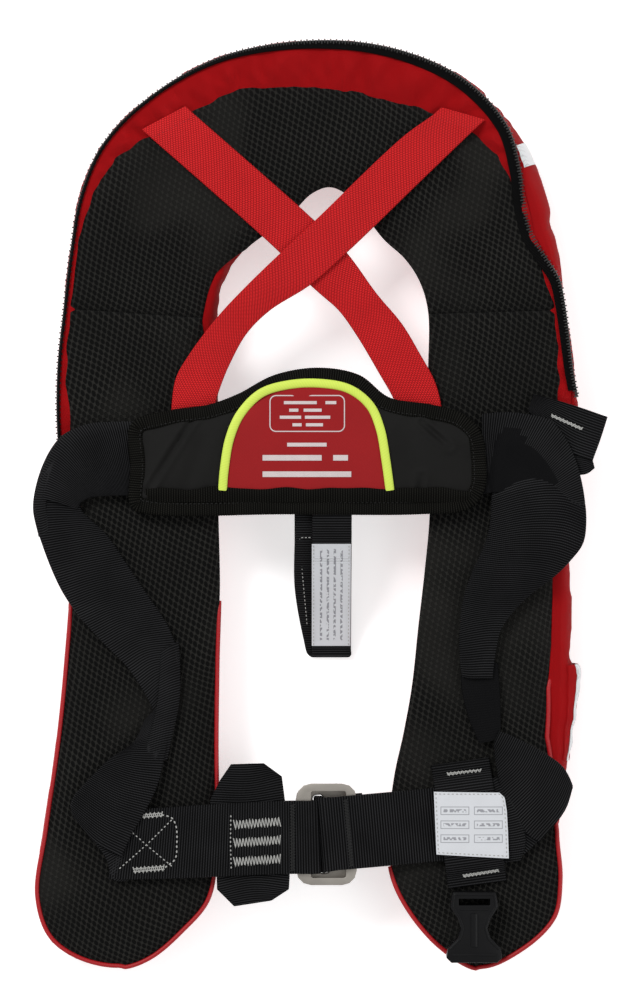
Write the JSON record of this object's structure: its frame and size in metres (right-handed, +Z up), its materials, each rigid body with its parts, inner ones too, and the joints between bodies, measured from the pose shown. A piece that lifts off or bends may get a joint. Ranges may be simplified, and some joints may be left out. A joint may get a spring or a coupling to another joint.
{
  "type": "inflatable life jacket",
  "caption": "Packed inflatable life jacket lying face down: red horseshoe cover, black mesh lining, crossed red straps, padded yoke, folded webbing and waist belt with steel buckle.",
  "frame": {"origin": "middle of the outline, on the ground that the jacket's front lies on", "axes": "+Z up out of the mesh-lined back, +Y from the lobes to the collar, +X to the right of the jacket as it lies"},
  "size_m": [0.3506, 0.571, 0.0538],
  "materials": {
    "red_shell": "woven polyester cover cloth, matt",
    "red_piping": "smooth coated piping, satin",
    "red_webbing": "basket-weave polyester webbing",
    "black_mesh": "knitted spacer mesh with six-sided holes",
    "black_webbing": "ribbed polyester webbing",
    "black_binding": "ribbed elastic binding",
    "black_nylon": "smooth nylon, slightly creased",
    "red_twill": "fine twill",
    "neon_piping": "bright coated piping",
    "white_label": "woven label",
    "reflective": "glass-bead reflective film",
    "zip_plastic": "moulded zip chain",
    "bladder_film": "coated bladder cloth",
    "steel": "tumbled stainless steel",
    "grey_steel": "plated steel",
    "black_plastic": "moulded acetal",
    "yellow_plastic": "moulded",
    "red_plastic": "moulded",
    "orange_plastic": "moulded"
  },
  "bodies": {
    "root": {"cover_left_lobe": "red_shell", "cover_collar": "red_shell", "cover_right_lobe": "red_shell", "collar_facing": "red_shell", "lining_left_lobe": "black_mesh", "lining_collar": "black_mesh", "lining_right_lobe": "black_mesh", "piping_left_lobe": "red_piping", "piping_right_lobe": "red_piping", "zip_chain": "zip_plastic", "zip_tape": "black_webbing", "bladder": "bladder_film", "inflator_body": "black_plastic", "trigger_cartridge": "yellow_plastic", "oral_tube": "black_plastic", "whistle": "orange_plastic", "side_strap_left": "black_webbing", "side_strap_right": "black_webbing", "belt_left": "black_webbing", "belt_tab_left": "black_webbing", "buckle_frame": "steel", "belt_loop_right": "black_webbing", "belt_label": "white_label", "keeper_tab": "black_webbing", "collar_reflector": "reflective"},
    "yoke": {"yoke_binding": "black_binding", "yoke_panel": "black_nylon", "yoke_piping": "neon_piping", "yoke_patch": "red_twill", "shoulder_strap_left": "red_webbing", "shoulder_strap_right": "red_webbing"},
    "back_loop": {"back_loop": "black_webbing", "back_loop_label": "white_label"},
    "belt_right_half": {"belt_right": "black_webbing", "buckle_insert": "steel"},
    "crotch_buckle": {"crotch_buckle": "black_plastic"},
    "zip_slider": {"zip_slider": "grey_steel"},
    "zip_pull": {"zip_pull": "grey_steel"},
    "pocket_flap": {"pocket_flap": "red_shell", "pocket_flap_trim": "reflective"},
    "toggle": {"toggle_handle": "red_plastic", "toggle_cord": "black_webbing"},
    "inflator_lever": {"inflator_lever": "red_plastic"},
    "co2_cylinder": {"co2_cylinder": "grey_steel"},
    "oral_tube_cap": {"oral_tube_cap": "red_plastic"}
  },
  "joints": [
    {"name": "yoke_lift", "type": "hinge", "parent": "root", "child": "yoke", "pos_m": [0, 0.247, 0.0416], "axis": [-1, 0, 0], "range_deg": [0, 20]},
    {"name": "back_loop_swing", "type": "hinge", "parent": "yoke", "child": "back_loop", "pos_m": [0.0074, -0.0082, 0.0465], "axis": [-1, 0, 0], "range_deg": [0, 70]},
    {"name": "belt_slide", "type": "slide", "parent": "root", "child": "belt_right_half", "axis": [0.996, 0.0889, 0], "range_m": [0, 0.01]},
    {"name": "crotch_buckle_swing", "type": "hinge", "parent": "root", "child": "crotch_buckle", "pos_m": [0.094, -0.238, 0.046], "axis": [-1, 0, 0], "range_deg": [0, 100]},
    {"name": "zip_slider_run", "type": "slide", "parent": "root", "child": "zip_slider", "axis": [0, -1, 0], "range_m": [0, 0.03]},
    {"name": "zip_pull_swing", "type": "hinge", "parent": "zip_slider", "child": "zip_pull", "pos_m": [-0.16135, 0.01, 0.036], "axis": [0, 1, 0], "range_deg": [0, 90]},
    {"name": "pocket_flap_open", "type": "hinge", "parent": "root", "child": "pocket_flap", "pos_m": [0.159, -0.128, 0.031], "axis": [0, -1, 0], "range_deg": [0, 100]},
    {"name": "toggle_pull", "type": "slide", "parent": "root", "child": "toggle", "axis": [0, -1, 0], "range_m": [0, 0.014]},
    {"name": "lever_swing", "type": "hinge", "parent": "root", "child": "inflator_lever", "pos_m": [0.14685, -0.098, 0.015], "axis": [1, 0, 0], "range_deg": [0, 80]},
    {"name": "cylinder_turn", "type": "hinge", "parent": "root", "child": "co2_cylinder", "pos_m": [0.1355, -0.015, 0.017], "axis": [0, 1, 0], "continuous": true},
    {"name": "oral_cap_pull", "type": "slide", "parent": "root", "child": "oral_tube_cap", "axis": [0, -1, 0], "range_m": [0, 0.014]}
  ]
}
